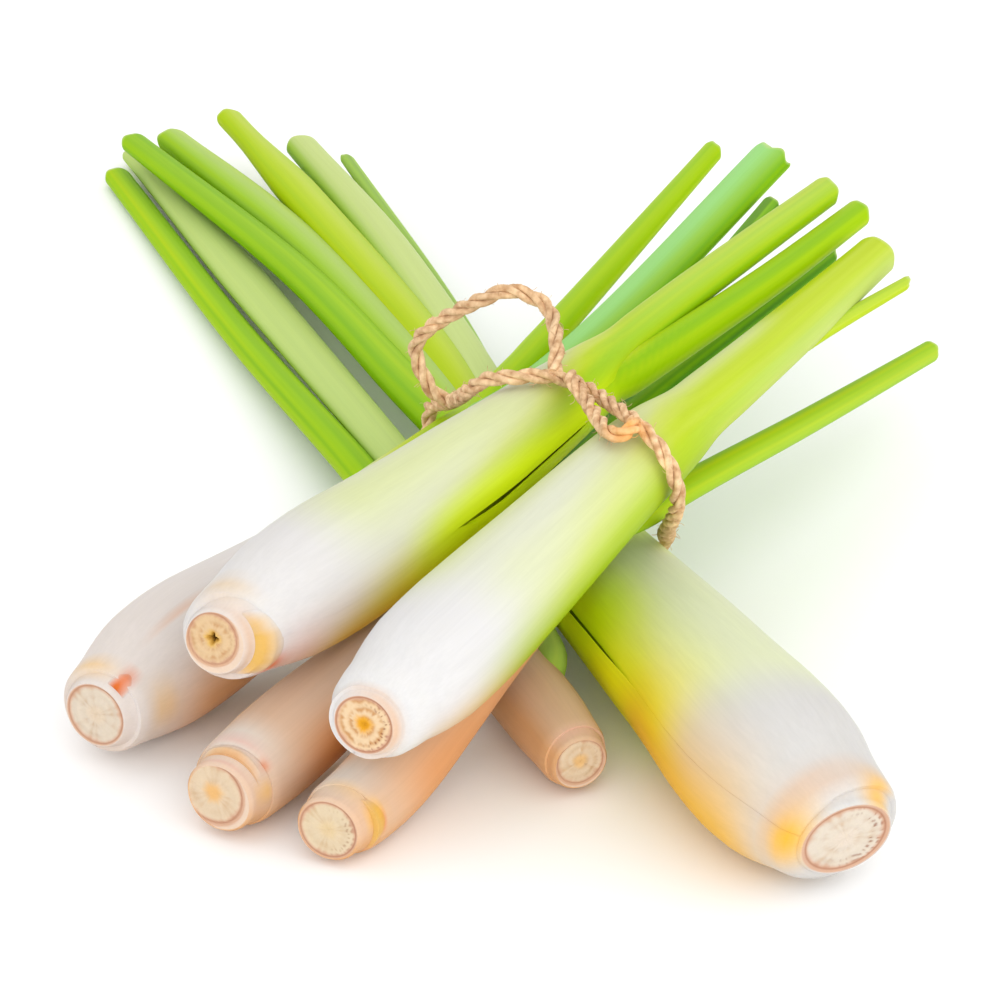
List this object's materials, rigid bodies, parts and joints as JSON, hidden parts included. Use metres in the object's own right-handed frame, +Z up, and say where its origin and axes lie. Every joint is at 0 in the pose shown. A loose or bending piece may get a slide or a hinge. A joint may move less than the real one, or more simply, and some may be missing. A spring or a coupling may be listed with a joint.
{
  "type": "tied bunch of lemongrass stalks",
  "caption": "Bunch of cut lemongrass stalks with swollen white bases and rolled green leaves, crossed and tied round the middle with twine, lying down.",
  "frame": {"origin": "middle of the bunch's footprint on the surface it lies on", "axes": "+Z up, +Y along the bunch from the cut bases towards the leaf tips, +X across it"},
  "size_m": [0.1178, 0.2017, 0.044],
  "materials": {
    "stalk_upper_left": "moist, waxy plant skin, satin",
    "stalk_upper_right": "moist, waxy plant skin, satin",
    "stalk_lower_left": "moist, waxy plant skin, satin",
    "stalk_lower_middle": "moist, waxy plant skin, satin",
    "stalk_lower_right": "moist, waxy plant skin, satin",
    "stalk_crossing_large": "moist, waxy plant skin, satin",
    "stalk_crossing_small": "moist, waxy plant skin, satin",
    "twine": "dull, hairy twisted natural fibre"
  },
  "bodies": {
    "root": {"stalk_upper_left": "stalk_upper_left", "stalk_upper_right": "stalk_upper_right", "stalk_lower_left": "stalk_lower_left", "stalk_lower_middle": "stalk_lower_middle", "stalk_lower_right": "stalk_lower_right", "stalk_crossing_large": "stalk_crossing_large", "stalk_crossing_small": "stalk_crossing_small", "twine": "twine"}
  },
  "joints": []
}
